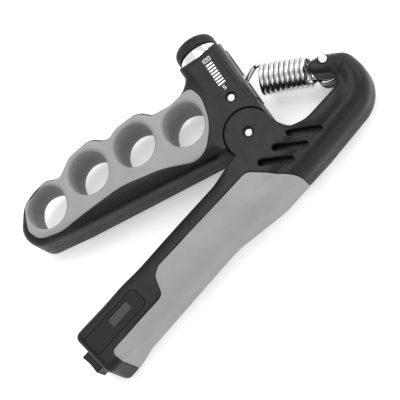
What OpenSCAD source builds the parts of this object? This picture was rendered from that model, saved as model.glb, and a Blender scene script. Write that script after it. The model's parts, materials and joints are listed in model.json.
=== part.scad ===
// Adjustable hand grip with a repetition counter. It lies on its back: the pivot axis is +Z,
// the palm handle runs along Y with its crook at +Y, and the finger handle is on the -X side.

/* [Handles] */
// Thickness of both handles along the pivot axis
thick = 26; // [26:0.5:28]
// Distance from the pivot to the bottom of the palm handle
palm_len = 121; // [116:1:126]
// Width of the palm handle at its lower end
palm_w = 26; // [25:0.5:28]
// Radius of the round cheeks at the pivot
hub_r = 11.5; // [11.5:0.1:12]
// Wall left outside the soft finger insert
insert_wall = 1.4; // [1.2:0.1:1.6]

/* [Finger loops] */
// Radius of a finger hole
finger_r = 10.3; // [9.5:0.1:10.6]
// Radius of the arc that the finger holes lie on
loop_arc_r = 157; // [155:1:159]
// Angle between neighbouring finger holes on that arc
loop_step = 9.2; // [9.1:0.1:9.3]

/* [Adjuster] */
// Radius of the knob
knob_r = 10.2; // [9.8:0.1:10.6]
// Length of the knob along its axis
knob_len = 6.4; // [6:0.2:7]
// Radius of the lead screw
screw_r = 3; // [2.6:0.1:3.2]
// Distance from the pivot to the spring eye at the lightest setting
eye_s = 28; // [27.5:0.1:28.5]

/* [Spring] */
// Wire diameter
wire_d = 2.3; // [2:0.1:2.4]
// Outer diameter of the coil
coil_od = 15.6; // [15:0.1:16]
// Turns in the coil
coil_turns = 9.5; // [8.5:0.5:9.5]

/* [Hidden] */
$fn = 48;

mid = thick / 2;
pin_r = 2.1;
fit = 0.05;
seat = 0.02;
past = 1;

// Each slab of a handle: half height, and how far its outline steps in.
palm_slabs = [[mid - 5.5, 0], [mid - 2.6, 0.9], [mid - 1, 2], [mid, 3.4]];
finger_slabs = [[mid - 3.5, 0], [mid - 1.4, 0.7], [mid, 2.4]];
head_slabs = [[mid - 7, 0], [mid - 4, 1.2], [mid - 2.4, 3.6], [mid - 1.8, 6.5]];

palm_left = 3;
palm_right = palm_left + palm_w;
grip_skin = 2;
ear_t = 6.4;
washer_t = 0.5;
ear_gap = ear_t + washer_t + 0.1;
tongue_r = hub_r - 0.1;
recess_r = hub_r + 0.5;

// Crook pin, and the head's own axes: s runs from the pivot to the knob, n to the spring side.
crook_at = [2.4, 46.2];
head_angle = 168;
s_dir = [cos(head_angle), sin(head_angle)];
n_dir = [-s_dir.y, s_dir.x] * -1;
eye_n = 8;
eye_at = eye_s * s_dir + eye_n * n_dir;

function on_head(s, n) = s * s_dir + n * n_dir;

// Finger holes on their arc, numbered from the tip.
loop_first = [-50.1, -88.5];
loop_start = 175.2;
loop_arc_at = loop_first - loop_arc_r * [cos(loop_start), sin(loop_start)];
function loop_at(k) =
    let (a = loop_start - k * loop_step)
    loop_arc_at + loop_arc_r * [cos(a), sin(a)];

// Outlines are lists of [x, y, corner radius], counter-clockwise.
function unit(v) = v / norm(v);
function xy(p) = [p.x, p.y];
function item(list, i) = list[(i + len(list)) % len(list)];

function arc_steps(r) = r < 1 ? 2 : r < 9 ? 4 : 7;

function corner(a, p, b, r) =
    let (
        steps = arc_steps(r),
        u = unit(a - p),
        v = unit(b - p),
        half = acos(u * v) / 2,
        c = p + unit(u + v) * r / sin(half),
        first = p + u * r / tan(half) - c,
        last = p + v * r / tan(half) - c,
        a0 = atan2(first.y, first.x),
        gap = atan2(last.y, last.x) - a0,
        turn = gap > 180 ? gap - 360 : gap < -180 ? gap + 360 : gap
    )
    [for (i = [0 : steps]) c + r * [cos(a0 + turn * i / steps), sin(a0 + turn * i / steps)]];

function rounded(pts) = [
    for (i = [0 : len(pts) - 1])
        each corner(xy(item(pts, i - 1)), xy(pts[i]), xy(item(pts, i + 1)), pts[i][2])
];

function stepped_in(pts, d) = [
    for (i = [0 : len(pts) - 1])
        let (
            a = xy(item(pts, i - 1)),
            p = xy(pts[i]),
            b = xy(item(pts, i + 1)),
            u = unit(a - p),
            v = unit(b - p),
            half = acos(u * v) / 2,
            side = cross(p - a, b - p) > 0 ? 1 : -1,
            q = p + side * unit(u + v) * d / sin(half)
        )
        [q.x, q.y, max(pts[i][2] - side * d, 0.3)]
];

// The end of the palm handle steps in far less than its long sides.
function palm_pts(d) = [
    [palm_left, -palm_len - 0.85 * d, 3],
    [palm_right, -palm_len - 0.85 * d, 3],
    [palm_right - 1.8, -42, 50],
    [palm_right + 3.2, -14, 40],
    [palm_right + 3.2, 14, 60],
    [palm_right + 0.8, 56.8, 18],
    [6.2, 56.5, 8],
    [-2.9, 46.4, 5],
    [-1.4, 33.1, 4],
    [8.8, 44.2, 3],
    [15.4, 44.2, 4.8],
    [15.4, hub_r, 12.5],
    [-hub_r, hub_r, hub_r - 0.1],
    [-hub_r, -hub_r, hub_r - 0.1],
    [palm_left, -hub_r, 0.5]
];

grip_pts = [
    [11.2, -71, 1],
    [14, -75.5, 3],
    [22.6, -79.3, 2],
    [23, -112.4, 1.5],
    [45, -112.4, 1],
    [45, 4, 1],
    [31, 1.6, 8],
    [12.4, -13.8, 3]
];

// The finger handle: a straight bar on the right, four bumps round the holes on the left.
bar_pts = [
    [-62.8, -88.6, 8],
    [-61.3, -96.5, 6],
    [-50, -107, 7],
    [-40.6, -104.6, 6],
    [-31.9, -86, 60],
    [-2.4, -12.4, 0.5],
    [-2, 0, 0.5],
    [-20, 4, 0.5],
    [-43.5, -0.6, 2],
    [-39.8, -7.8, 8],
    [-40.2, -15, 8],
    [-43.4, -23.5, 3],
    [-50.7, -27.6, 9],
    [-53.4, -40.1, 9],
    [-52.1, -46.5, 3],
    [-59.6, -52, 8],
    [-61.4, -64.9, 9],
    [-57.5, -74.9, 3],
    [-62.2, -80.4, 5]
];

head_start = 4;
head_end = 48.2;
head_half = 10.5;
hub_half = 11.1;
hub_end = 25;
hub_pts = [
    on_head(head_start, hub_half),
    on_head(hub_end, hub_half),
    on_head(hub_end, -hub_half),
    on_head(head_start, -hub_half)
];

// The soft insert stops here, and at a thin wall inside the bumps.
insert_pts = [
    [-70, -90.5, 1],
    [-48.5, -102.3, 6],
    [-41.6, -101.2, 6],
    [-36.2, -91, 20],
    [-28.6, -57, 40],
    [-19.5, -39, 40],
    [-9.6, -25.6, 7],
    [-9.4, -18.5, 6],
    [-17, -8.2, 12],
    [-30, -2.2, 6],
    [-36.6, -3.2, 3.5],
    [-45, -19.5, 1],
    [-70, -22, 1]
];

// The same radius at every corner, for outlines given as plain points.
function with_r(pts, r) = [for (p = pts) [p.x, p.y, r]];

plastic = [0.13, 0.13, 0.14];
soft_grey = [0.6, 0.6, 0.61];
steel = [0.72, 0.73, 0.75];

module tall(half, plan_side = 0) {
    // A slab about the middle plane: both ways, or only towards the front (1) or the rear (-1).
    low = plan_side > 0 ? 0 : -half;
    high = plan_side < 0 ? 0 : half;
    translate([0, 0, mid + low]) linear_extrude(high - low) children();
}

module palm_plan(d) {
    polygon(rounded(stepped_in(palm_pts(d), d)));
}

module palm_body(side) {
    for (slab = palm_slabs) tall(slab[0], side) palm_plan(slab[1]);
}

// The handle without its crook, under the soft grip.
function core_pts(d) = [
    [palm_left, -palm_len - 0.85 * d, 3],
    [palm_right, -palm_len - 0.85 * d, 3],
    [palm_right - 1.8, -42, 50],
    [palm_right + 3.2, -14, 40],
    [palm_right + 3.2, 14, 1],
    [palm_left, 14, 1]
];

module grip_core(side) {
    for (slab = palm_slabs)
        tall(slab[0] - grip_skin, side)
            polygon(rounded(stepped_in(core_pts(slab[1]), slab[1] + grip_skin)));
}

module grip_zone() {
    translate([0, 0, -past]) linear_extrude(thick + 2 * past) polygon(rounded(grip_pts));
}

module post(at, r, z0, z1) {
    translate([at.x, at.y, z0]) cylinder(r = r, h = z1 - z0);
}

// Screws: where they stand, and their sizes.
screw_head_r = 2.2;
screw_shank_r = 1.1;
screw_sink = 2.4;
screw_post_r = 3.4;
palm_screw_at = [[8.6, -58], [8.6, -28], [27, 14], [24, 34]];
finger_screw_at = [[-25.9, -57.6], on_head(17, -7.8), on_head(38, -8.2)];

module screw(at) {
    post(at, screw_head_r, screw_sink - 1.4, screw_sink);
    post(at, screw_shank_r, screw_sink, thick - 7);
}

module screw_hole(at) {
    post(at, screw_head_r + 0.1, -past, screw_sink);
    post(at, screw_shank_r + seat, screw_sink - past, thick - 6.8);
}

// Pins show a domed end in a shallow recess. The pivot pin is blind at the rear.
pin_dome = 0.5;
pin_end = 0.4;
blind_z = 1.4;

module pin_hole(at, from = -past) {
    post(at, pin_r + seat, from, thick + past);
    post(at, pin_r + 0.6, thick - 1, thick + past);
}

module rear_recess(at) {
    post(at, pin_r + 0.6, -past, 1);
}

module half_pin(at, from) {
    post(at, pin_r, from, thick - pin_end - pin_dome);
    translate([at.x, at.y, thick - pin_end - pin_dome])
        cylinder(r1 = pin_r, r2 = pin_r - pin_dome, h = pin_dome);
}

module round_pin(at) {
    half_pin(at, pin_end + pin_dome);
    translate([at.x, at.y, pin_end]) cylinder(r1 = pin_r - pin_dome, r2 = pin_r, h = pin_dome);
}

// Counter, inside the lower end of the palm handle.
cavity_half = 8;
cavity_x = [5.6, 22.6];
cavity_y = [-palm_len + 2.8, -24];
window_x = [9.2, 19.6];
window_y = [-palm_len + 2.6, -86.2];
window_t = 1.8;
lcd_x = [10.8, 16];
lcd_y = [-105, -92];
board_z = mid + 6.2;
board_t = 1.6;
cell_at = [13.7, -75];
cell_r = 5.8;
cell_h = 5.4;

module box(x, y, z) {
    translate([x[0], y[0], z[0]]) cube([x[1] - x[0], y[1] - y[0], z[1] - z[0]]);
}

// Pockets beside the pivot: three parallel slots on both faces.
slot_count = 3;
slot_angle = 48;
slot_len = 15.6;
slot_w = 2.5;
slot_pitch = 9.2;
slot_deep = 1.8;

module face_slots() {
    for (k = [0 : slot_count - 1])
        for (z = [-past, thick - slot_deep])
            translate([14.6, 12.2 - k * slot_pitch, z])
                rotate([0, 0, slot_angle])
                    linear_extrude(slot_deep + past) {
                        translate([0, -slot_w / 2]) square([slot_len - slot_w, slot_w]);
                        circle(slot_w / 2);
                        translate([slot_len - slot_w, 0]) circle(slot_w / 2);
                    }
}

// Reset button: it slides along Y in the handle's end.
button_w = 10.6;
button_t = 10;
button_out = 5;
button_x = palm_left + palm_w / 2;
flange_y = -palm_len + 3;

module button_prism(grow, y0, y1) {
    box(
        [button_x - button_w / 2 - grow, button_x + button_w / 2 + grow],
        [y0, y1],
        [mid - button_t / 2 - grow, mid + button_t / 2 + grow]
    );
}

// Clevis between the cheeks, and the slot in the crook for the spring's rear loop.
loop_slot = 3.6;
loop_slot_r = 10.4;

module palm_cuts() {
    tall(mid - ear_t) circle(recess_r + 0.4);
    tall(loop_slot / 2) translate(crook_at - [1, 1]) circle(loop_slot_r);
    pin_hole([0, 0], blind_z);
    pin_hole(crook_at);
    rear_recess(crook_at);
    face_slots();
    for (at = palm_screw_at) screw_hole(at);
    button_prism(0.25, -palm_len - past, cavity_y[0] + past);
}

module palm_shell(side) {
    difference() {
        union() {
            difference() {
                palm_body(side);
                grip_zone();
            }
            intersection() {
                grip_core(side);
                grip_zone();
            }
        }
        difference() {
            box(cavity_x, cavity_y, [mid - cavity_half, mid + cavity_half]);
            for (k = [0 : 1]) post(palm_screw_at[k], screw_post_r, 0, thick);
        }
        palm_cuts();
        if (side > 0) {
            box(window_x, window_y, [thick - window_t, thick + past]);
            box(lcd_x, lcd_y, [mid, thick]);
        }
    }
}

module palm_shell_front() color(plastic) palm_shell(1);

module palm_shell_rear() color(plastic) palm_shell(-1);

module palm_grip() {
    color(soft_grey)
        difference() {
            intersection() {
                palm_body(0);
                grip_zone();
            }
            grip_core(0);
            face_slots();
        }
}

module display_window() {
    color([0.05, 0.05, 0.06]) box(window_x, window_y, [thick - window_t, thick - 0.1]);
}

module lcd_panel() {
    color([0.55, 0.6, 0.56]) box(lcd_x, lcd_y, [thick - window_t - 1.6, thick - window_t]);
}

module counter_board() {
    color([0.1, 0.35, 0.18])
        difference() {
            box([6, 21.4], [-115.4, -66], [board_z, board_z + board_t]);
            box([5, 8], [-100, -84], [board_z - past, board_z + board_t + past]);
        }
}

module battery_cell() {
    color(steel) {
        post(cell_at, cell_r, board_z - cell_h, board_z - 0.6);
        post(cell_at, cell_r - 1, board_z - 0.6, board_z);
    }
}

module battery_clip() {
    strip = 0.4;
    reach = cell_r + 0.3;
    foot = board_z - cell_h - strip;
    clip_y = [cell_at.y - 2, cell_at.y + 2];
    color(steel)
        for (x = [cell_at.x - reach - strip, cell_at.x + reach])
            box([x, x + strip], clip_y, [foot, board_z]);
    color(steel)
        box([cell_at.x - reach - strip, cell_at.x + reach + strip], clip_y, [foot, foot + strip]);
}

module reed_switch() {
    color([0.6, 0.75, 0.7]) translate([7.3, -98, mid + 3]) rotate([-90, 0, 0]) cylinder(r = 1.1, h = 12);
}

module dome_switch() {
    foot = -palm_len + 6.2;
    half = 4;
    color([0.3, 0.3, 0.32]) {
        box([button_x - half, button_x + half], [foot, foot + 1.4], [mid - half, mid + half]);
        translate([button_x, foot, mid]) rotate([90, 0, 0]) cylinder(r = 2.4, h = 0.4);
        box(
            [button_x - half - 1, button_x + half + 1],
            [foot + 1.4, foot + 2.8],
            [mid - cavity_half, mid + half + 1]
        );
    }
}

module reset_button() {
    color(plastic) {
        button_prism(0, -palm_len - button_out, flange_y);
        button_prism(1, flange_y, flange_y + 1.6);
    }
}

module pivot_pin() color(steel) half_pin([0, 0], blind_z);

module pivot_washers() {
    color([0.9, 0.9, 0.88])
        for (z = [ear_t, thick - ear_t - washer_t])
            difference() {
                post([0, 0], 6, z, z + washer_t);
                post([0, 0], pin_r + fit, z - past, z + washer_t + past);
            }
}

module crook_pin() color(steel) round_pin(crook_at);

module palm_screws() {
    color(steel) for (at = palm_screw_at) screw(at);
}

// Adjuster, along the head's axis.
channel_s = [14.5, 47.5];
channel_n = [-6.2, 11.8];
channel_half = 5.6;
channel_t = 1.2;
foot_s = [15, 24];
foot_n = 5;
head_pin_at = on_head(18.9, 2.4);
nut_s = [eye_s - 2.6, eye_s + 5];
nut_half = 4.2;
collar_s = [head_end, 51.2];
knob_s = [51.4, 51.4 + knob_len];
clip_s = [46.4, 47.2];

module head_frame() {
    // x is s, y is -n, and z is measured from the middle plane.
    translate([0, 0, mid]) rotate([0, 0, head_angle]) children();
}

module head_box(s, n, half) {
    head_frame() translate([s[0], -n[1], -half]) cube([s[1] - s[0], n[1] - n[0], 2 * half]);
}

module head_rod(s, r) {
    head_frame() translate([s[0], 0, 0]) rotate([0, 90, 0]) cylinder(r = r, h = s[1] - s[0]);
}

module finger_plan(d) {
    polygon(rounded(stepped_in(bar_pts, d)));
    polygon(rounded(stepped_in(with_r(hub_pts, 0.5), d / 2)));
}

module insert_plan() {
    intersection() {
        polygon(rounded(stepped_in(bar_pts, insert_wall)));
        polygon(rounded(insert_pts));
    }
}

module finger_shell(side) {
    difference() {
        union() {
            for (slab = finger_slabs) tall(slab[0], side) finger_plan(slab[1]);
            for (slab = head_slabs) head_slab(slab[0], slab[1], side);
        }
        for (z = [-past, thick - ear_gap]) post([0, 0], recess_r, z, z + ear_gap + past);
        linear_extrude(3 * thick, center = true) insert_plan();
        linear_extrude(3 * thick, center = true) beyond_tongue();
        head_box(channel_s, [channel_n[0], channel_n[1] + past], channel_half);
        head_rod([channel_s[1] - past, head_end + past], screw_r + 2);
        post([0, 0], 4, -past, thick + past);
        pin_hole(head_pin_at);
        rear_recess(head_pin_at);
        for (at = finger_screw_at) screw_hole(at);
        magnet_pocket();
    }
    difference() {
        tall(mid - ear_gap, side) circle(tongue_r);
        post([0, 0], 4, -past, thick + past);
        head_box(channel_s, [channel_n[0], channel_n[1] + past], channel_half);
    }
}

// The head steps in towards its faces, but not towards its two ends.
module head_slab(half, d, side) {
    half_n = head_half - d;
    head_frame()
        translate([head_start, -half_n, side > 0 ? 0 : -half])
            cube([head_end - head_start, 2 * half_n, half]);
}

// Everything right of the pivot belongs to the palm handle, apart from the tongue.
module beyond_tongue() {
    polygon([[-2.4, -30], [30, -30], [30, 30], [-1.8, 30], [-1.8, 8], [-2.4, -8]]);
}

module finger_shell_front() color(plastic) finger_shell(1);

module finger_shell_rear() color(plastic) finger_shell(-1);

module finger_loops() {
    lip = 1.2;
    color(soft_grey)
        difference() {
            translate([0, 0, 0.4]) linear_extrude(thick - 0.8) insert_plan();
            for (k = [0 : 3])
                translate([loop_at(k).x, loop_at(k).y, -past]) {
                    cylinder(r = finger_r, h = thick + 2 * past);
                    translate([0, 0, thick - lip]) cylinder(r1 = finger_r, r2 = finger_r + lip, h = lip + past);
                    cylinder(r1 = finger_r + lip, r2 = finger_r, h = lip + past + past);
                }
            magnet_pocket();
        }
}

module pivot_bush() {
    color([0.78, 0.68, 0.4])
        difference() {
            post([0, 0], 4 - seat, ear_gap, thick - ear_gap);
            post([0, 0], pin_r + fit, 0, thick);
        }
}

module slide_channel() {
    color(steel)
        difference() {
            head_box(channel_s, channel_n, channel_half);
            head_box(channel_s + [-past, past], channel_n + [channel_t, past], channel_half - channel_t);
            post(head_pin_at, pin_r + seat, 0, thick);
        }
}

module chrome_collar() {
    color(steel)
        difference() {
            union() {
                head_rod(collar_s, knob_r - 0.4);
                head_rod([clip_s[1] + 0.3, head_end], screw_r + 2 - seat);
            }
            head_rod([40, 60], screw_r + fit);
        }
}

module screw_foot() {
    color([0.2, 0.2, 0.22])
        difference() {
            head_box(foot_s, [channel_n[0] + channel_t, foot_n], channel_half - channel_t - seat);
            head_rod([foot_s[1] - 3, foot_s[1] + past], screw_r + fit);
            post(head_pin_at, pin_r + seat, 0, thick);
        }
}

module head_pin() color(steel) round_pin(head_pin_at);

module finger_screws() {
    color(steel) for (at = finger_screw_at) screw(at);
}

magnet_at = [-41.4, -100.3];
module magnet_pocket() {
    post(magnet_at, 2 + seat, mid - 2, mid + 2);
}

module tip_magnet() color(steel) post(magnet_at, 2, mid - 2, mid + 2);

rib_count = 36;
rib_r = 0.45;

module adjust_knob() {
    bevel = 2;
    color(plastic)
        difference() {
            union() {
                head_rod([knob_s[0], knob_s[1] - bevel], knob_r - rib_r);
                head_frame()
                    translate([knob_s[1] - bevel, 0, 0])
                        rotate([0, 90, 0])
                            cylinder(r1 = knob_r - rib_r, r2 = knob_r - rib_r - bevel, h = bevel);
                for (k = [0 : rib_count - 1])
                    head_frame()
                        rotate([360 * k / rib_count, 0, 0])
                            translate([knob_s[0] + 0.4, 0, knob_r - rib_r])
                                rotate([0, 90, 0])
                                    cylinder(r = rib_r, h = knob_len - 0.8 - bevel, $fn = 8);
            }
            head_rod([knob_s[0] - past, knob_s[1] - 2.4], screw_r + seat);
            head_rod([knob_s[1] - 3, knob_s[1] + past], 1.3 + seat);
            head_rod([knob_s[1] - 1.2, knob_s[1] + past], 3);
        }
}

module lead_screw() {
    color(steel)
        difference() {
            head_rod([foot_s[1] - 2.8, knob_s[1] - 2.4], screw_r);
            head_rod([knob_s[1] - 7, knob_s[1]], 1.3 + seat);
            difference() {
                head_rod(clip_s + [-0.1, 0.1], screw_r + past);
                head_rod(clip_s + [-past, past], screw_r - 0.6);
            }
        }
}

module retaining_clip() {
    color(steel)
        difference() {
            head_rod(clip_s, screw_r + 1.2);
            head_rod(clip_s + [-past, past], screw_r - 0.6 + seat);
            head_box(clip_s + [-past, past], [0, 6], 1);
        }
}

module knob_screw() {
    color(steel)
        difference() {
            union() {
                head_rod([knob_s[1] - 6.4, knob_s[1] - 1.2], 1.3);
                head_rod([knob_s[1] - 1.2, knob_s[1] + 0.2], 2.7);
            }
            head_box([knob_s[1] - 0.6, knob_s[1] + past], [-4, 4], 0.35);
        }
}

module slider_nut() {
    ear_n = 10;
    color([0.75, 0.62, 0.35])
        difference() {
            head_box(nut_s, [-4.9, ear_n], nut_half);
            head_box(nut_s + [-past, past], [3.7, ear_n + past], nut_half - 1.5);
            head_rod(nut_s + [-past, past], screw_r + fit);
            post(eye_at, 1.5 + fit, 0, thick);
        }
}

module slider_pin() color(steel) post(eye_at, 1.5, mid - nut_half, mid + nut_half);

// Spring. Its axis runs from the eye on the slider to the crook pin.
wire_r = wire_d / 2;
coil_r = coil_od / 2 - wire_r;
spring_len = norm(crook_at - eye_at);
spring_dir = (crook_at - eye_at) / spring_len;
spring_angle = atan2(spring_dir.y, spring_dir.x);
coil_from = 10.6;
coil_to = 35.2;
wire_sides = 8;
turn_steps = 14;
eye_r = 1.5 + 0.25 + wire_r;
rear_back = 1.9;

module spring_frame() {
    // x runs along the spring from the slider's eye, and z is measured from the middle plane.
    translate([eye_at.x, eye_at.y, mid]) rotate([0, 0, spring_angle]) children();
}

function helix(t) =
    let (a = 360 * coil_turns * t)
    [coil_from + wire_r + (coil_to - coil_from - wire_d) * t, coil_r * sin(a), coil_r * cos(a)];
function helix_out(t) =
    let (a = 360 * coil_turns * t)
    [0, sin(a), cos(a)];

module spring_coil() {
    rings = ceil(coil_turns * turn_steps);
    points = [
        for (i = [0 : rings])
            for (j = [0 : wire_sides - 1])
                let (b = 360 * j / wire_sides)
                helix(i / rings) + wire_r * (helix_out(i / rings) * cos(b) + [sin(b), 0, 0])
    ];
    walls = [
        for (i = [0 : rings - 1])
            for (j = [0 : wire_sides - 1])
                let (k = (j + 1) % wire_sides, low = i * wire_sides, high = low + wire_sides)
                [low + j, high + j, high + k, low + k]
    ];
    near = [for (j = [0 : wire_sides - 1]) j];
    far = [for (j = [wire_sides - 1 : -1 : 0]) rings * wire_sides + j];
    color(steel) spring_frame() polyhedron(points, concat([near], walls, [far]), convexity = 10);
}

module wire_ring(r, at) {
    translate([at, 0, 0]) rotate_extrude() translate([r, 0]) circle(wire_r, $fn = 24);
}

module wire_rod(from, to) {
    length = norm(to - from);
    dir = (to - from) / length;
    translate(from) rotate([0, acos(dir.z), atan2(dir.y, dir.x)]) cylinder(r = wire_r, h = length, $fn = 24);
}

module spring_front_hook() {
    color(steel)
        spring_frame() {
            wire_ring(eye_r, 0);
            wire_rod([eye_r, 0, 0], [coil_from - wire_r, 0, 0]);
        }
}

module spring_rear_hook() {
    color(steel) spring_frame() wire_ring(coil_r, spring_len - rear_back);
}

palm_shell_front();
palm_shell_rear();
palm_grip();
display_window();
lcd_panel();
counter_board();
battery_cell();
battery_clip();
reed_switch();
dome_switch();
reset_button();
pivot_pin();
pivot_washers();
crook_pin();
palm_screws();
finger_shell_front();
finger_shell_rear();
finger_loops();
pivot_bush();
slide_channel();
chrome_collar();
screw_foot();
head_pin();
finger_screws();
tip_magnet();
adjust_knob();
lead_screw();
retaining_clip();
knob_screw();
slider_nut();
slider_pin();
spring_front_hook();
spring_coil();
spring_rear_hook();
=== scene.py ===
"""Looks for an adjustable hand grip with a repetition counter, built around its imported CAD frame.

Shapes are worked out in millimetres as signed distance fields, negative inside, and meshed in metres.
The grip lies on its back: the pivot axis is +Z, the palm handle runs along Y with its crook at +Y.
"""
import json
import math

import bmesh
import bpy
import numpy as np
from mathutils import Matrix, Vector


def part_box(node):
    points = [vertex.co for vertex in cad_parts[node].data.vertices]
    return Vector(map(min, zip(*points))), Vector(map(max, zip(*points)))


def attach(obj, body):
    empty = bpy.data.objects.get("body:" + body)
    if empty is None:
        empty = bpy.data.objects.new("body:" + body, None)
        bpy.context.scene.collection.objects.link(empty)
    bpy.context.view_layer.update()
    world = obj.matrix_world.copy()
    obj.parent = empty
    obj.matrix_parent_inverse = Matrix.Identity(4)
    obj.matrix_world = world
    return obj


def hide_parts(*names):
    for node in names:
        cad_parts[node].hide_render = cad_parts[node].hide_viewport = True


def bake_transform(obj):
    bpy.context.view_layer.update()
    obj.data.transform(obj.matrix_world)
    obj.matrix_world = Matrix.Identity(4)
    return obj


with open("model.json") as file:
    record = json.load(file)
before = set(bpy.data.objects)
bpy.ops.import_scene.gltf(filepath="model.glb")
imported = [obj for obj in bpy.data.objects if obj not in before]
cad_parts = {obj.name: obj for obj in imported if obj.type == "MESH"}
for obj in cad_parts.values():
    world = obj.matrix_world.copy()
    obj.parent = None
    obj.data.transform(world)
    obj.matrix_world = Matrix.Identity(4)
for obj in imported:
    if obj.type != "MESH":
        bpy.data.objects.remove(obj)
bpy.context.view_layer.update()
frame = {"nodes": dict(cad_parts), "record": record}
MM = 0.001


# ---------------------------------------------------------------- places, from the frame

def node_box(name):
    """Lowest and highest corner of a CAD node, in millimetres."""
    low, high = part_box(name)
    return np.array(low) / MM, np.array(high) / MM


def middle(name):
    low, high = node_box(name)
    return (low + high) / 2


def joint(name):
    """A joint of the record, by name."""
    return next(j for j in frame["record"]["behaviour"]["joints"] if j["name"] == name)


THICK = node_box("palm_shell_front")[1][2]
MID = THICK / 2
CROOK_PIN = middle("crook_pin")[:2]
HEAD_PIN = middle("head_pin")[:2]
EYE = middle("slider_pin")[:2]
PALM_END = node_box("palm_shell_front")[0][1]
PALM_RIGHT = node_box("palm_shell_front")[1][0]
HUB = -node_box("palm_shell_front")[0][0]
HOLES = [
    (np.array(o["box_m"][0]) + np.array(o["box_m"][1]))[:2] / 2 / MM
    for o in frame["record"]["physics"]["openings"]
    if o["name"].startswith("finger_hole")
]
S_DIR = np.array(joint("slider_travel")["axis"][:2])
N_DIR = np.array([S_DIR[1], -S_DIR[0]])
HEAD_ANGLE = math.atan2(S_DIR[1], S_DIR[0])


def on_head(s, n):
    """A point in plan, s along the head from the pivot, n towards the spring."""
    return s * S_DIR + n * N_DIR


# ---------------------------------------------------------------- outlines

def corner_arc(a, p, b, r):
    a, p, b = (np.array(q[:2], float) for q in (a, p, b))
    u = (a - p) / np.linalg.norm(a - p)
    v = (b - p) / np.linalg.norm(b - p)
    half = math.acos(np.clip(u @ v, -1, 1)) / 2
    c = p + (u + v) / np.linalg.norm(u + v) * r / math.sin(half)
    first, last = p + u * r / math.tan(half) - c, p + v * r / math.tan(half) - c
    a0 = math.atan2(first[1], first[0])
    turn = (math.atan2(last[1], last[0]) - a0 + math.pi) % (2 * math.pi) - math.pi
    steps = max(3, int(abs(turn) * math.sqrt(r) * 3))
    return [c + r * np.array([math.cos(a0 + turn * i / steps), math.sin(a0 + turn * i / steps)])
            for i in range(steps + 1)]


def rounded(corners):
    """An outline of [x, y, radius] corners as plain points."""
    n = len(corners)
    return np.array([q for i in range(n)
                     for q in corner_arc(corners[i - 1], corners[i], corners[(i + 1) % n], corners[i][2])])


class Outline:
    """Signed distance to a closed outline in plan, tabulated on a fine grid."""

    def __init__(self, points, margin=16.0, pitch=0.25):
        points = np.asarray(points, float)
        self.low = points.min(0) - margin
        self.pitch = pitch
        shape = np.ceil((points.max(0) + margin - self.low) / pitch).astype(int) + 1
        x = (self.low[0] + pitch * np.arange(shape[0]))[:, None]
        y = (self.low[1] + pitch * np.arange(shape[1]))[None, :]
        near = np.full(shape, 1e9)
        inside = np.zeros(shape, bool)
        for a, b in zip(points, np.roll(points, -1, axis=0)):
            e = b - a
            if e @ e < 1e-12:
                continue
            t = np.clip(((x - a[0]) * e[0] + (y - a[1]) * e[1]) / (e @ e), 0, 1)
            near = np.minimum(near, (x - a[0] - t * e[0]) ** 2 + (y - a[1] - t * e[1]) ** 2)
            if a[1] != b[1]:
                crosses = (a[1] > y) != (b[1] > y)
                inside ^= crosses & (x < a[0] + (y - a[1]) * e[0] / e[1])
        self.table = np.where(inside, -1, 1) * np.sqrt(near)

    def __call__(self, x, y):
        i = np.clip((x - self.low[0]) / self.pitch, 0, self.table.shape[0] - 1.001)
        j = np.clip((y - self.low[1]) / self.pitch, 0, self.table.shape[1] - 1.001)
        i, j = np.broadcast_arrays(i, j)
        i0, j0 = i.astype(int), j.astype(int)
        u, v = i - i0, j - j0
        t = self.table
        return ((t[i0, j0] * (1 - u) + t[i0 + 1, j0] * u) * (1 - v)
                + (t[i0, j0 + 1] * (1 - u) + t[i0 + 1, j0 + 1] * u) * v)


# ---------------------------------------------------------------- fields

def step(low, high, t):
    t = np.clip((t - low) / (high - low), 0, 1)
    return t * t * (3 - 2 * t)


def both(a, b, r=0.0, p=2.0):
    """What is inside a and b, with the edge between them rounded to r."""
    if np.isscalar(r) and r == 0:
        return np.maximum(a, b)
    u, v = np.maximum(a + r, 0), np.maximum(b + r, 0)
    return np.minimum(np.maximum(a, b) + r, 0) + (u ** p + v ** p) ** (1 / p) - r


def less(a, b, r=0.0):
    """a with b cut out of it."""
    return both(a, -b, r)


def joined(a, b, k=0.0):
    """a or b, melted together over about k."""
    if k == 0:
        return np.minimum(a, b)
    h = np.clip(0.5 + 0.5 * (b - a) / k, 0, 1)
    return b + (a - b) * h - k * h * (1 - h)


def disc(x, y, at, r):
    return np.hypot(x - at[0], y - at[1]) - r


def bar(x, y, a, b, r):
    """A straight slot or bar with round ends from a to b."""
    e = np.array(b) - np.array(a)
    t = np.clip(((x - a[0]) * e[0] + (y - a[1]) * e[1]) / (e @ e), 0, 1)
    return np.hypot(x - a[0] - t * e[0], y - a[1] - t * e[1]) - r


def block(x, y, z, low, high, r=0.0):
    """A box with its edges rounded to r."""
    c, h = (np.array(low) + high) / 2, (np.array(high) - low) / 2 - r
    q = [np.abs(v - c[i]) - h[i] for i, v in enumerate((x, y, z))]
    out = np.sqrt(sum(np.maximum(v, 0) ** 2 for v in q))
    return out + np.minimum(np.maximum(np.maximum(q[0], q[1]), q[2]), 0) - r


def head_axes(x, y):
    """Plan coordinates along the head and towards the spring."""
    return x * S_DIR[0] + y * S_DIR[1], x * N_DIR[0] + y * N_DIR[1]


# ---------------------------------------------------------------- meshing

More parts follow.
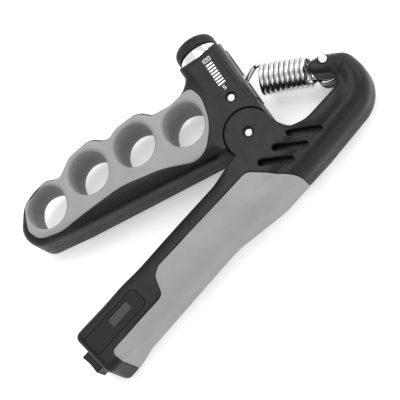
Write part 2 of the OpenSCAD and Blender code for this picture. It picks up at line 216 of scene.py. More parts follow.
def contour(field, low, high, pitch):
    """Dual contouring: a closed mesh of field = 0, which keeps its creases."""
    low, high = np.array(low, float), np.array(high, float)
    n = np.ceil((high - low) / pitch).astype(int) + 1
    axes = [low[i] + pitch * np.arange(n[i]) for i in range(3)]
    f = field(axes[0][:, None, None], axes[1][None, :, None], axes[2][None, None, :])
    f = np.broadcast_to(f, n).astype(np.float32)
    f = np.where(f == 0, np.float32(1e-6), f)
    inside = f < 0
    cells = n - 1
    sums = {}
    edges = []
    for d in range(3):
        a = [slice(None)] * 3
        b = [slice(None)] * 3
        a[d], b[d] = slice(0, -1), slice(1, None)
        where = np.argwhere(inside[tuple(a)] != inside[tuple(b)])
        other = [k for k in range(3) if k != d]
        ok = np.all([(where[:, k] > 0) & (where[:, k] < cells[k]) for k in other], axis=0)
        where = where[ok]
        nxt = where.copy()
        nxt[:, d] += 1
        fa, fb = f[tuple(where.T)].astype(float), f[tuple(nxt.T)].astype(float)
        t = fa / (fa - fb)
        p = low + pitch * where
        p0 = p[:, d].copy()
        lo_t, hi_t, f_lo, f_hi = np.zeros_like(t), np.ones_like(t), fa, fb
        for _ in range(2):
            p[:, d] = p0 + pitch * t
            ft = field(*p.T)
            same = (ft < 0) == (f_lo < 0)
            lo_t, f_lo = np.where(same, t, lo_t), np.where(same, ft, f_lo)
            hi_t, f_hi = np.where(same, hi_t, t), np.where(same, f_hi, ft)
            t = lo_t + (hi_t - lo_t) * np.clip(f_lo / (f_lo - f_hi + 1e-12), 0.02, 0.98)
        p[:, d] = p0 + pitch * t
        edges.append((d, where, fa < 0, p))
    crossing = np.vstack([e[3] for e in edges])
    eps = 0.02
    normal = np.empty_like(crossing)
    for k in range(3):
        shift = np.zeros(3)
        shift[k] = eps
        normal[:, k] = field(*(crossing + shift).T) - field(*(crossing - shift).T)
    normal /= np.maximum(np.linalg.norm(normal, axis=1, keepdims=True), 1e-9)
    stride = np.array([cells[1] * cells[2], cells[2], 1])
    start, owners, rows, quads = 0, [], [], []
    for d, where, solid_first, p in edges:
        u, v = (d + 1) % 3, (d + 2) % 3
        count = len(where)
        ids = []
        for du, dv in ((1, 1), (0, 1), (0, 0), (1, 0)):
            c = where.copy()
            c[:, u] -= du
            c[:, v] -= dv
            ids.append(c @ stride)
            owners.append(ids[-1])
            rows.append(np.arange(start, start + count))
        start += count
        quad = np.stack(ids, axis=1)
        quads.append(np.where(solid_first[:, None], quad, quad[:, ::-1]))
    owners, rows, quads = np.concatenate(owners), np.concatenate(rows), np.vstack(quads)
    used, owner = np.unique(owners, return_inverse=True)
    count = np.bincount(owner).astype(float)
    q, m = crossing[rows], normal[rows]
    centre = np.stack([np.bincount(owner, q[:, k]) / count for k in range(3)], axis=1)
    ata = np.empty((len(used), 3, 3))
    for i in range(3):
        for j in range(i, 3):
            ata[:, i, j] = ata[:, j, i] = np.bincount(owner, m[:, i] * m[:, j])
    off = np.einsum("ij,ij->i", m, q - centre[owner])
    atb = np.stack([np.bincount(owner, m[:, k] * off) for k in range(3)], axis=1)
    ata += np.eye(3) * (0.06 * count)[:, None, None]
    vertex = centre + np.linalg.solve(ata, atb[:, :, None])[:, :, 0]
    index = np.stack(np.unravel_index(used, cells), axis=1)
    cell_low = low + pitch * index
    vertex = np.clip(vertex, cell_low, cell_low + pitch)
    return vertex, np.searchsorted(used, quads)


def make_mesh(name, points_mm, faces, sharp=40.0):
    mesh = bpy.data.meshes.new(name)
    mesh.from_pydata((np.asarray(points_mm) * MM).tolist(), [], np.asarray(faces).tolist()
                     if isinstance(faces, np.ndarray) else faces)
    mesh.update()
    mesh.shade_smooth()
    mesh.set_sharp_from_angle(angle=math.radians(sharp))
    piece = bpy.data.objects.new(name, mesh)
    bpy.context.scene.collection.objects.link(piece)
    return piece


def settle(piece, ratio, sharp=40.0):
    """Thins out the flat stretches of a contoured mesh."""
    bpy.context.view_layer.objects.active = piece
    thin = piece.modifiers.new("thin", "DECIMATE")
    thin.ratio = ratio
    bpy.ops.object.modifier_apply(modifier=thin.name)
    piece.data.shade_smooth()
    piece.data.set_sharp_from_angle(angle=math.radians(sharp))
    return piece


FINE = 0.45


def carve(name, field, low, high, pitch=FINE, keep=0.5):
    points, quads = contour(field, low, high, pitch)
    piece = make_mesh(name, points, quads)
    return settle(piece, keep) if keep < 1 else piece


def lathe(name, profile, turns=64, wobble=None):
    """Turns a closed [along, radius] profile; wobble(angle, along, radius) changes radii."""
    angles = 2 * math.pi * np.arange(turns) / turns
    points, rings = [], []
    for along, radius in profile:
        if radius < 1e-6:
            rings.append([len(points)])
            points.append((along, 0, 0))
            continue
        rings.append(list(range(len(points), len(points) + turns)))
        for a in angles:
            r = radius if wobble is None else wobble(a, along, radius)
            points.append((along, r * math.cos(a), r * math.sin(a)))
    faces = []
    for one, two in zip(rings, rings[1:]):
        for k in range(turns):
            j = (k + 1) % turns
            if len(one) == 1:
                faces.append((one[0], two[k], two[j]))
            elif len(two) == 1:
                faces.append((one[k], two[0], one[j]))
            else:
                faces.append((one[k], two[k], two[j], one[j]))
    return np.array(points), faces


def place(points, origin, forward, up=(0, 0, 1)):
    """Points whose x runs along forward, moved to origin."""
    f = np.array(forward, float)
    f /= np.linalg.norm(f)
    side = np.cross(up, f)
    side /= np.linalg.norm(side)
    return np.asarray(origin) + points @ np.stack([f, side, np.cross(f, side)])


def tube(name, path, radius, sides=14):
    """A round wire along a smooth path, with flat ends."""
    path = np.asarray(path, float)
    tangent = np.gradient(path, axis=0)
    tangent /= np.linalg.norm(tangent, axis=1, keepdims=True)
    side = np.cross(tangent[0], (0.3, 0.5, 0.81))
    side /= np.linalg.norm(side)
    points = []
    for p, t in zip(path, tangent):
        side = side - t * (side @ t)
        side /= np.linalg.norm(side)
        other = np.cross(t, side)
        for k in range(sides):
            a = 2 * math.pi * k / sides
            points.append(p + radius * (math.cos(a) * side + math.sin(a) * other))
    n = len(path)
    faces = [(i * sides + k, i * sides + (k + 1) % sides,
              (i + 1) * sides + (k + 1) % sides, (i + 1) * sides + k)
             for i in range(n - 1) for k in range(sides)]
    faces.append(tuple(range(sides - 1, -1, -1)))
    faces.append(tuple(range((n - 1) * sides, n * sides)))
    return make_mesh(name, np.array(points), faces, sharp=60)


# ---------------------------------------------------------------- materials

class Material:
    """A procedural material: each call adds nodes and links them into one Principled shader."""

    def __init__(self, name, color, roughness, metallic=0.0, specular=0.5, coat=0.0):
        self.m = bpy.data.materials.new(name)
        self.m.use_nodes = True
        self.m.diffuse_color = (*color, 1)
        self.nodes, self.links = self.m.node_tree.nodes, self.m.node_tree.links
        self.out = self.nodes["Principled BSDF"]
        self.color, self.roughness = color, roughness
        for socket, value in (("Base Color", (*color, 1)), ("Roughness", roughness), ("Metallic", metallic),
                              ("Specular IOR Level", specular), ("Coat Weight", coat)):
            self.out.inputs[socket].default_value = value
        self.coords = self.nodes.new("ShaderNodeTexCoord")
        self.bump = None

    def node(self, kind, **values):
        made = self.nodes.new(kind)
        for key, value in values.items():
            if hasattr(made, key):
                setattr(made, key, value)
            else:
                made.inputs[key.replace("_", " ")].default_value = value
        return made

    def noise(self, scale, detail=3.0, rough=0.5, stretch=None, turn=0.0):
        noise = self.node("ShaderNodeTexNoise", Scale=scale, Detail=detail, Roughness=rough)
        source = self.coords.outputs["Object"]
        if stretch:
            place_node = self.node("ShaderNodeMapping")
            place_node.inputs["Rotation"].default_value = (0, 0, turn)
            place_node.inputs["Scale"].default_value = stretch
            self.links.new(source, place_node.inputs["Vector"])
            source = place_node.outputs["Vector"]
        self.links.new(source, noise.inputs["Vector"])
        return noise.outputs["Fac"]

    def ramp(self, source, low, high, at=(0.3, 0.7)):
        spread = self.node("ShaderNodeMapRange")
        for key, value in zip(("From Min", "From Max", "To Min", "To Max"), (*at, low, high)):
            spread.inputs[key].default_value = value
        self.links.new(source, spread.inputs["Value"])
        return spread.outputs["Result"]

    def vary_roughness(self, source, low, high, at=(0.3, 0.7)):
        self.links.new(self.ramp(source, low, high, at), self.out.inputs["Roughness"])
        return self

    def vary_color(self, source, other, amount=1.0, at=(0.35, 0.65)):
        mix = self.node("ShaderNodeMix", data_type="RGBA")
        mix.inputs[6].default_value = (*self.color, 1)
        mix.inputs[7].default_value = (*other, 1)
        self.links.new(self.ramp(source, 0, amount, at), mix.inputs[0])
        before = self.out.inputs["Base Color"].links
        if before:
            self.links.new(before[0].from_socket, mix.inputs[6])
        self.links.new(mix.outputs[2], self.out.inputs["Base Color"])
        return self

    def relief(self, source, strength, depth):
        """Adds a bump of so many millimetres."""
        bump = self.node("ShaderNodeBump", Strength=strength, Distance=depth * MM)
        self.links.new(source, bump.inputs["Height"])
        if self.bump:
            self.links.new(self.bump, bump.inputs["Normal"])
        self.bump = bump.outputs["Normal"]
        self.links.new(self.bump, self.out.inputs["Normal"])
        return self


def black_plastic(name="black_plastic", rough=0.42):
    m = Material(name, (0.006, 0.006, 0.0063), rough, specular=0.2)
    grain = m.noise(2600, 4, 0.6)
    m.relief(grain, 0.25, 0.03)
    m.relief(m.noise(60, 2), 0.12, 0.12)
    m.vary_roughness(m.noise(140, 5, 0.6), rough - 0.05, rough + 0.07)
    m.vary_color(m.noise(320, 4), (0.009, 0.009, 0.0094))
    return m.m


def grey_rubber():
    m = Material("grey_rubber", (0.25, 0.25, 0.254), 0.62, specular=0.35)
    m.relief(m.noise(3200, 3, 0.7), 0.35, 0.03)
    m.relief(m.noise(90, 3), 0.15, 0.1)
    m.vary_roughness(m.noise(200, 5, 0.6), 0.56, 0.7)
    m.vary_color(m.noise(70, 5, 0.6), (0.225, 0.225, 0.229))
    return m.m


def bright_metal(name, color, rough, scale=500):
    m = Material(name, color, rough, metallic=1.0)
    m.vary_roughness(m.noise(scale, 5, 0.7), rough * 0.7, rough * 1.6)
    m.relief(m.noise(scale * 3, 3, 0.6), 0.06, 0.01)
    m.vary_color(m.noise(scale / 4, 4), tuple(c * 0.9 for c in color))
    return m.m


def brushed_metal(name, color, rough, turn=0.0):
    m = Material(name, color, rough, metallic=1.0)
    lines = m.noise(900, 6, 0.7, stretch=(0.04, 1, 1), turn=turn)
    m.relief(lines, 0.25, 0.02)
    m.vary_roughness(lines, rough * 0.75, rough * 1.4)
    m.vary_color(m.noise(160, 4), tuple(c * 0.88 for c in color))
    return m.m


def plain(name, color, rough, scale=400, depth=0.02, specular=0.5, coat=0.0):
    m = Material(name, color, rough, specular=specular, coat=coat)
    m.relief(m.noise(scale, 4, 0.6), 0.2, depth)
    m.vary_roughness(m.noise(scale / 2, 4), rough * 0.85, rough * 1.2)
    m.vary_color(m.noise(scale / 3, 3), tuple(c * 0.86 for c in color))
    return m.m


BLACK = black_plastic()
KNOB_BLACK = black_plastic("knob_plastic", 0.36)
GREY = grey_rubber()
CHROME = bright_metal("chrome", (0.86, 0.86, 0.87), 0.07)
NICKEL = bright_metal("spring_nickel", (0.62, 0.61, 0.6), 0.14)
STEEL = brushed_metal("bright_steel", (0.66, 0.67, 0.69), 0.26, turn=-HEAD_ANGLE)
DARK_STEEL = brushed_metal("blackened_steel", (0.07, 0.07, 0.075), 0.3, turn=-HEAD_ANGLE)
BRASS = brushed_metal("brass", (0.7, 0.53, 0.24), 0.3, turn=-HEAD_ANGLE)
BRONZE = plain("sintered_bronze", (0.42, 0.27, 0.13), 0.5)
GLOSS = plain("window_gloss", (0.005, 0.005, 0.006), 0.4, 60, 0.01, specular=0.2)
LCD = plain("lcd_face", (0.035, 0.038, 0.036), 0.4, 900, 0.01, specular=0.25)
BOARD = plain("board_green", (0.02, 0.11, 0.04), 0.35)
NYLON = plain("nylon", (0.75, 0.75, 0.7), 0.5)
REED = plain("reed_glass", (0.35, 0.45, 0.4), 0.12)
INK = plain("white_print", (0.86, 0.86, 0.86), 0.55, 1500, 0.01)


def finish_piece(piece, material, body, slot, *nodes):
    """Gives a piece its material, the body it rides on and the CAD nodes it stands for."""
    piece.data.materials.clear()
    piece.data.materials.append(material)
    if body:
        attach(piece, body)
    if nodes:
        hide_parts(*nodes)
    return piece


# ---------------------------------------------------------------- palm handle

LEFT, RIGHT = 3.0, PALM_RIGHT - 3.2
BAY_TOP = 44.2
PALM = Outline(rounded([
    (LEFT + 0.9, PALM_END, 3.2), (RIGHT, PALM_END, 3.4), (RIGHT - 1.8, -42, 50), (RIGHT + 3.2, -14, 40),
    (RIGHT + 3.2, 14, 60), (RIGHT + 0.8, 56.8, 18), (6.2, 56.5, 8), (-2.9, 46.4, 5), (-1.4, 33.1, 4),
    (8.8, BAY_TOP, 3), (15.4, BAY_TOP, 4.8), (15.4, HUB, 13), (-HUB, HUB, HUB - 0.1),
    (-HUB, -HUB, HUB - 0.1), (LEFT, -HUB, 0.5), (LEFT, -60, 60),
]))
GRIP = Outline(rounded([
    (11.4, -71, 3), (13.6, -75.3, 4), (22.3, -79, 3.5), (22.8, -112.8, 2.4), (48, -112.4, 1), (48, 3.4, 1),
    (31, 1.3, 10), (12.2, -13.6, 5),
]))
EAR = 6.4
TONGUE = HUB - 0.1
RECESS = HUB + 0.5
SPLIT = 0.03
SKIN = 2.0
BAY = (8.0, 30.0)
PIN_HOLE = 2.12
PIN_RIM = 2.65
RIM_DEEP = 1.1
SCREW_SEAT = 2.4


def palm_env(x, y, z):
    """The palm handle from outside: its outline with rounded edges and the relief beside the spine."""
    side = PALM(x, y)
    handle = step(-16, -30, y)
    to_bay = np.hypot(x - BAY[0], y - BAY[1])
    outer = np.maximum(step(12.5, 19, to_bay) * step(-30, -8, y), 0)
    right = step(12, 20, x)
    hub = 1 - step(12.5, 20, np.hypot(x, y))
    low = step(-100, -117, y)
    round_left = 2.0 + 5.5 * handle - 2.5 * step(-76, -92, y)
    round_right = 9.0 - 5.0 * low
    r = round_left * (1 - right) + round_right * right
    crook = step(6, 14, y)
    r = r * (1 - crook) + crook * (2.6 + 6.2 * outer)
    r = r * (1 - hub) + 0.7 * hub
    r = r * (1 - low) + 3.6 * low
    # a shallow valley runs beside the outer spine, from the crook's top down to the grip
    depth = -side
    along = step(-22, -4, y) * (1 - step(50, 56, y) * (1 - step(2, 14, x)))
    far = step(11.5, 17, to_bay) * step(15.5, 19, x + 0.12 * y) + step(48, 53, y) * step(2, 10, x)
    valley = 1.15 * np.exp(-((depth - 9.2) / 2.2) ** 2) * along * np.clip(far, 0, 1)
    shoulder = 0.9 * step(12.5, 5.5, depth) * along * np.clip(far, 0, 1)
    face = np.abs(z - MID) - (MID - 0.05) + valley + shoulder
    return both(side, face, r, 2.25)


def palm_pockets(x, y, z):
    """Everything that is cut into the palm shells."""
    hub = np.hypot(x, y)
    cuts = both(hub - RECESS - 0.4, np.abs(z - MID) - (MID - EAR))
    loop = both(disc(x, y, CROOK_PIN - 1, 10.4), np.abs(z - MID) - 1.8)
    cuts = joined(cuts, loop)
    for at in ((0.0, 0.0), CROOK_PIN):
        cuts = joined(cuts, disc(x, y, at, PIN_HOLE))
    cavity = block(x, y, z, (5.6, PALM_END + 3.2, MID - 8), (21.8, -24, MID + 8), 1.5)
    for at in ((8.6, -58), (8.6, -28)):
        cavity = less(cavity, disc(x, y, at, 3.4))
    cuts = joined(cuts, cavity)
    button = node_box("reset_button")
    low, high = button[0] - 0.25, button[1] + 0.25
    low[[0, 2]] += 1
    high[[0, 2]] -= 1
    return joined(cuts, block(x, y, z, (low[0], PALM_END - 4, low[2]), (high[0], PALM_END + 6, high[2]), 0.8))


SLOT_ANGLE = math.radians(48)
SLOT_STARTS = [(14.6, 12.2), (14.6, 3.0), (14.5, -6.1)]
SLOT_RUN = 13.4 * np.array([math.cos(SLOT_ANGLE), math.sin(SLOT_ANGLE)])
SLOT_DEEP = 5.0
SLOT_R = 1.6


def slot_pocket(x, y, z, start):
    return both(bar(x, y, start, np.array(start) + SLOT_RUN, SLOT_R), MID - SLOT_DEEP - np.abs(z - MID))


def palm_faces(f, x, y, z):
    """Slots and pin recesses, cut in from the two faces."""
    for start in SLOT_STARTS:
        f = less(f, slot_pocket(x, y, z, start), 0.45)
    for at in ((0.0, 0.0), CROOK_PIN):
        rim = both(disc(x, y, at, PIN_RIM), THICK - RIM_DEEP - z)
        f = less(f, rim, 0.3)
    rear = both(disc(x, y, CROOK_PIN, PIN_RIM), z - RIM_DEEP)
    return less(f, rear, 0.3)


PALM_SCREWS = [(8.6, -58), (8.6, -28), (27, 14), (24, 34)]
WINDOW_LOW, WINDOW_HIGH = node_box("display_window")
LCD_LOW, LCD_HIGH = node_box("lcd_panel")
WINDOW = Outline(rounded([
    (WINDOW_LOW[0], WINDOW_LOW[1], 0.8), (WINDOW_HIGH[0], WINDOW_LOW[1], 0.8),
    (WINDOW_HIGH[0], WINDOW_HIGH[1], 2.6), (WINDOW_LOW[0], WINDOW_HIGH[1], 2.6),
]), margin=4, pitch=0.1)


def palm_solid(x, y, z):
    """Both palm shells together, let in under the soft grip."""
    whole = palm_env(x, y, z)
    zone = GRIP(x, y)
    bare = both(whole, 0.1 - zone, 0.35)
    core = both(whole + SKIN, zone + 0.3)
    f = joined(bare, core)
    f = less(f, palm_pockets(x, y, z), 0.0)
    return palm_faces(f, x, y, z)


def palm_front(x, y, z):
    f = palm_solid(x, y, z)
    seat = both(WINDOW(x, y) - 0.12, WINDOW_LOW[2] - z)
    f = less(f, seat, 0.25)
    return both(f, MID + SPLIT - z, 0.3)


def palm_rear(x, y, z):
    f = palm_solid(x, y, z)
    for at in PALM_SCREWS:
        f = less(f, both(disc(x, y, at, SCREW_SEAT), z - SCREW_SEAT), 0.3)
    f = joined(f, both(np.hypot(x, y) - 3.5, np.abs(z - 1.2) - 1.2, 0.2))
    return both(f, z - MID + SPLIT, 0.3)


def palm_skin(x, y, z):
    """The soft grip: a skin over the shells within its own outline."""
    whole = palm_env(x, y, z) - 0.08
    f = both(whole, GRIP(x, y) + 0.06, 0.55)
    f = less(f, palm_env(x, y, z) + SKIN - 0.05)
    for start in SLOT_STARTS:
        f = less(f, slot_pocket(x, y, z, start), 0.3)
    return f


PALM_LOW = np.array([-HUB - 1, PALM_END - 1, -1])
PALM_HIGH = np.array([PALM_RIGHT + 1, node_box("palm_shell_front")[1][1] + 1, THICK + 1])

front = carve("palm_front_shell", palm_front, (PALM_LOW[0], PALM_LOW[1], MID - 1), PALM_HIGH)
finish_piece(front, BLACK, "palm_handle", "black_shell", "palm_shell_front")
rear = carve("palm_rear_shell", palm_rear, PALM_LOW, (PALM_HIGH[0], PALM_HIGH[1], MID + 1))
finish_piece(rear, BLACK, "palm_handle", "black_shell", "palm_shell_rear")
skin = carve("palm_soft_grip", palm_skin, (9, -115, -1), (PALM_RIGHT + 1, 5, THICK + 1))
finish_piece(skin, GREY, "palm_handle", "grey_skin", "palm_grip")

# ---------------------------------------------------------------- finger handle

BAR = Outline(rounded([
    (-62.8, -88.6, 20), (-61.3, -96.5, 12), (-50.3, -107.4, 11), (-40.6, -104.6, 7), (-31.9, -86, 60),
    (-2.4, -12.4, 0.5), (-2, 0, 0.5), (-20, 4, 0.5), (-43.5, -0.6, 2), (-39.8, -7.8, 8), (-40.2, -15, 8),
    (-43.4, -23.5, 4), (-50.7, -27.6, 9), (-53.4, -40.1, 9), (-52.1, -46.5, 4), (-59.6, -52, 8),
    (-61.4, -64.9, 9), (-57.5, -74.9, 4), (-62.2, -80.4, 5),
]))
INSERT = Outline(rounded([
    (-70, -90.5, 1), (-48.5, -102.3, 6), (-41.6, -101.2, 6), (-36.2, -91, 20), (-28.6, -57, 40),
    (-19.5, -39, 40), (-9.6, -25.6, 12), (-9.4, -18.5, 9), (-17, -8.2, 25), (-30, -2.2, 15),
    (-36.6, -3.2, 3.5), (-45, -19.5, 1), (-70, -22, 1),
]))
FINGER_R = 10.3
LIP = 1.8
WALL = 1.1
FLARE = 2.2
ACROSS = np.array([-0.948, 0.319])
HEAD_END = 48.2
HEAD_HALF = 10.7
HEAD_DRAW_BACK = 2.3
COLLAR_FROM = 46.3
COLLAR_R = 9.75
FACE_DROP = 1.7
DROP_FROM, DROP_TO = 18, 44


def finger_env(x, y, z):
    """The finger handle from outside: the bumped bar joined to the head, both with rounded edges."""
    s, n = head_axes(x, y)
    head_side = np.maximum(np.abs(n) - HEAD_HALF - 0.5 * step(30, 10, s), np.maximum(3 - s, s - HEAD_END))
    outline = BAR(x, y)
    side = joined(outline, head_side, 2.5)
    hub = np.hypot(x, y)
    to_head = step(12, 30, s)
    face = np.abs(z - MID) - (MID - 0.05) + FACE_DROP * step(DROP_FROM, DROP_TO, s)
    # the bar's straight side is rounder than the bumps
    lower = step(-8, 8, (x + 40.6) * 0.93 - (y + 104.6) * 0.37 + 14)
    r = 4.2 + 2.6 * lower
    r = r * (1 - to_head) + to_head * 5.2
    near_hub = 1 - step(12.3, 19, hub)
    r = r * (1 - near_hub) + 0.6 * near_hub
    return both(side, face, r, 2.2)


def finger_holes(f, x, y, z):
    """Cuts the four finger holes, each opening wider at both faces."""
    flare = ((z - MID) / MID) ** 2
    for at in HOLES:
        tip = at + FLARE * ACROSS
        e = tip - at
        t = np.clip(((x - at[0]) * e[0] + (y - at[1]) * e[1]) / (e @ e), 0, flare)
        hole = np.hypot(x - at[0] - t * e[0], y - at[1] - t * e[1]) - FINGER_R + 0.3
        f = less(f, hole, LIP)
    return f


def insert_zone(x, y):
    """Where the soft loops take over from the black shells, in plan."""
    return both(BAR(x, y) + WALL, INSERT(x, y), 0.8)


def head_cut(f, x, y, z):
    """The head's end draws back in the middle of its faces and shows the collar there."""
    s, n = head_axes(x, y)
    back = HEAD_DRAW_BACK * np.clip(1 - (n / 10.0) ** 2, 0, 1) ** 0.8 * step(2.0, 9.5, np.abs(z - MID))
    return both(f, s - HEAD_END - 0.6 + back, 0.5)


def finger_cuts(f, x, y, z):
    """The hub, the slider channel, the collar seat and the pin holes."""
    s, n = head_axes(x, y)
    hub = np.hypot(x, y)
    f = less(f, both(hub - RECESS, MID - EAR - 0.6 - np.abs(z - MID)), 0.35)
    f = both(f, x + 2.1, 0.3)
    f = joined(f, both(hub - TONGUE, np.abs(z - MID) - (MID - EAR - 0.6), 0.3))
    channel = np.maximum(np.maximum(14.5 - s, s - 47.5), np.maximum(-6.2 - n, np.abs(z - MID) - 5.75))
    f = less(f, channel, 0.3)
    f = less(f, np.maximum(np.hypot(n, z - MID) - 5.05, np.maximum(44 - s, s - 60)))
    f = less(f, np.maximum(np.hypot(n, z - MID) - 9.9, 46.2 - s), 0.2)
    f = less(f, hub - 4.0)
    f = less(f, disc(x, y, HEAD_PIN, PIN_HOLE))
    return less(f, both(disc(x, y, HEAD_PIN, PIN_RIM), MID - RIM_DEEP - np.abs(z - MID)), 0.3)


FINGER_SCREWS = [(-25.9, -57.6), on_head(17, -7.8), on_head(38, -8.2)]


def finger_body(x, y, z):
    f = finger_holes(head_cut(finger_env(x, y, z), x, y, z), x, y, z)
    f = less(f, insert_zone(x, y) - 0.06, 0.3)
    return finger_cuts(f, x, y, z)


def finger_front(x, y, z):
    return both(finger_body(x, y, z), MID + SPLIT - z, 0.3)


def finger_rear(x, y, z):
    f = finger_body(x, y, z)
    for at in FINGER_SCREWS:
        f = less(f, both(disc(x, y, at, SCREW_SEAT), z - SCREW_SEAT), 0.3)
    return both(f, z - MID + SPLIT, 0.3)


def finger_insert(x, y, z):
    f = finger_holes(finger_env(x, y, z), x, y, z)
    return both(f, insert_zone(x, y) + 0.08, 0.3)


FINGER_LOW = np.array([-65, -109, -1])
FINGER_HIGH = np.array([13, 22, THICK + 1])
front = carve("finger_front_shell", finger_front, (*FINGER_LOW[:2], MID - 1), FINGER_HIGH)
finish_piece(front, BLACK, "finger_handle", "black_shell", "finger_shell_front")
rear = carve("finger_rear_shell", finger_rear, FINGER_LOW, (*FINGER_HIGH[:2], MID + 1))
finish_piece(rear, BLACK, "finger_handle", "black_shell", "finger_shell_rear")
insert = carve("finger_soft_loops", finger_insert, FINGER_LOW, (0, 2, THICK + 1))
finish_piece(insert, GREY, "finger_handle", "grey_skin", "finger_loops")

# ---------------------------------------------------------------- pins, screws and other round parts

def dome(r, low, high, rise, rear_rise=None):
    """A pin's profile from low to high with domed ends."""
    rear_rise = rise if rear_rise is None else rear_rise
    steps = 6
    ends = [(low + rear_rise * (1 - math.cos(a)), r * math.sin(a))
            for a in (math.pi / 2 * i / steps for i in range(steps + 1))]
    tops = [(high - rise * (1 - math.cos(a)), r * math.sin(a))
            for a in (math.pi / 2 * (steps - i) / steps for i in range(steps + 1))]
    return ends + tops


for name, body in (("pivot_pin", "palm_handle"), ("crook_pin", "palm_handle"), ("head_pin", "finger_handle")):
    low, high = node_box(name)
    at = (low + high) / 2
    points, faces = lathe(name, dome(2.08, low[2], THICK - 0.15, 1.0), 40)
    pin = make_mesh(f"{name}_domed", place(points, (at[0], at[1], 0), (0, 0, 1), up=(0, 1, 0)), faces, 50)
    finish_piece(pin, CHROME, body, "chrome", name)


def screw_field(x, y, z):
    """A pan-head screw with a cross recess, head down at z = 0."""
    rad = np.hypot(x, y)
    head = both(rad - 2.15, np.abs(z - 0.85) - 0.75, 0.35)
    shank = both(rad - 1.1, np.abs(z - 9) - 8.4, 0.3)
    cross = joined(np.maximum(np.abs(x) - 0.35, np.abs(y) - 1.35),
                   np.maximum(np.abs(y) - 0.35, np.abs(x) - 1.35))
    cross = np.maximum(cross + 0.25 * z, z - 1.1)
    return less(joined(head, shank), cross, 0.08)


screw_points, screw_quads = contour(screw_field, (-2.6, -2.6, -0.3), (2.6, 2.6, 18), 0.2)
for name, places, body in (("palm_screws", PALM_SCREWS, "palm_handle"),
                           ("finger_screws", FINGER_SCREWS, "finger_handle")):
    start = node_box(name)[0][2]
    points = np.vstack([screw_points + (at[0], at[1], start) for at in places])
    quads = np.vstack([screw_quads + i * len(screw_points) for i in range(len(places))])
    screws = make_mesh(f"{name}_cross", points, quads)
    finish_piece(settle(screws, 0.3), STEEL, body, "steel", name)

KNOB_LOW, KNOB_HIGH = 51.4, 57.7
KNOB_R = 10.2
AXIS = np.array([*S_DIR, 0.0])
CENTRE = np.array([0, 0, MID])
RIBS = 36


def knob_rib(angle, along, radius):
    """Shallow grooves round the knob, fading out at both ends."""
    if radius < KNOB_R - 1.0:
        return radius
    groove = abs(math.cos(RIBS * angle / 2)) ** 6
    fade = min(1.0, max(0.0, (KNOB_HIGH - 1.2 - along) / 1.5))
    fade = fade * min(1.0, max(0.0, (along - KNOB_LOW - 0.5) / 0.4))
    return radius - 0.34 * groove * fade


profile = [(KNOB_LOW, 3.1), (KNOB_LOW, KNOB_R - 0.5), (KNOB_LOW + 0.15, KNOB_R - 0.15),
           (KNOB_LOW + 0.5, KNOB_R)]
profile += [(KNOB_LOW + 0.5 + 0.4 * i, KNOB_R) for i in range(1, 6)]
RIM_LONG, RIM_IN = 3.6, 2.6
profile += [(KNOB_HIGH - RIM_LONG + RIM_LONG * math.sin(a), KNOB_R - RIM_IN + RIM_IN * math.cos(a))
            for a in np.linspace(0.05, math.pi / 2, 14)]
profile += [(KNOB_HIGH, 6.6), (KNOB_HIGH - 0.25, 6.2), (KNOB_HIGH - 0.35, 4.2), (KNOB_HIGH - 0.3, 3.3),
            (KNOB_HIGH - 1.2, 3.05), (KNOB_HIGH - 1.2, 1.35), (KNOB_LOW + 1, 1.35), (KNOB_LOW + 1, 3.1)]


def turned(name, parts, turns, material, body, slot, *nodes, wobble=None, sharp=35):
    """A closed profile turned about the head's axis."""
    points, faces = lathe(name, parts + [parts[0]], turns, wobble)
    piece = make_mesh(name, place(points, CENTRE, AXIS), faces, sharp)
    work = bmesh.new()
    work.from_mesh(piece.data)
    bmesh.ops.remove_doubles(work, verts=work.verts, dist=1e-6)
    bmesh.ops.recalc_face_normals(work, faces=work.faces)
    work.to_mesh(piece.data)
    work.free()
    piece.data.set_sharp_from_angle(angle=math.radians(sharp))
    return finish_piece(piece, material, body, slot, *nodes)


turned("ribbed_knob", profile, RIBS * 10, KNOB_BLACK, "knob", "black_part", "adjust_knob", wobble=knob_rib)
turned("collar_ring", [(COLLAR_FROM, 3.1), (COLLAR_FROM, COLLAR_R), (50.6, COLLAR_R), (50.9, COLLAR_R - 0.1),
                       (51.15, 9.3), (51.15, 3.1)],
       96, CHROME, "finger_handle", "chrome", "chrome_collar")

# the lead screw: plain ends with a thread between them
PITCH = 1.25
SCREW_FROM, SCREW_TO = 21.4, 56.0
THREAD_FROM, THREAD_TO = 24.2, 45.8
SCREW_R = 2.98
THREAD_DEEP = 0.42
SIDES = 24
rings = int((SCREW_TO - SCREW_FROM) / PITCH * 12)
angles = 2 * math.pi * np.arange(SIDES) / SIDES
points = []
for s in np.linspace(SCREW_FROM, SCREW_TO, rings):
    for a in angles:
        phase = (s / PITCH - a / (2 * math.pi)) % 1
        depth = THREAD_DEEP * (1 - abs(2 * phase - 1)) if THREAD_FROM < s < THREAD_TO else 0.0
        r = SCREW_R - depth
        points.append((s, r * math.cos(a), r * math.sin(a)))
faces = [(i * SIDES + k, i * SIDES + (k + 1) % SIDES, (i + 1) * SIDES + (k + 1) % SIDES, (i + 1) * SIDES + k)
         for i in range(rings - 1) for k in range(SIDES)]
faces.append(tuple(range(SIDES - 1, -1, -1)))
faces.append(tuple(range((rings - 1) * SIDES, rings * SIDES)))
screw = make_mesh("threaded_screw", place(np.array(points), CENTRE, AXIS), faces, 50)
finish_piece(screw, STEEL, "knob", "steel", "lead_screw")

# ---------------------------------------------------------------- spring

WIRE = 1.15
COIL_R = 6.65
SPRING_AXIS = CROOK_PIN - EYE
SPRING_LEN = np.linalg.norm(SPRING_AXIS)
SPRING_AXIS = SPRING_AXIS / SPRING_LEN
COIL_FROM, COIL_TO = 10.6, 33.9
COILS = 9.6
PHASE = math.radians(62)
EYE_R = 2.9
LOOP_AT = SPRING_LEN - 1.9


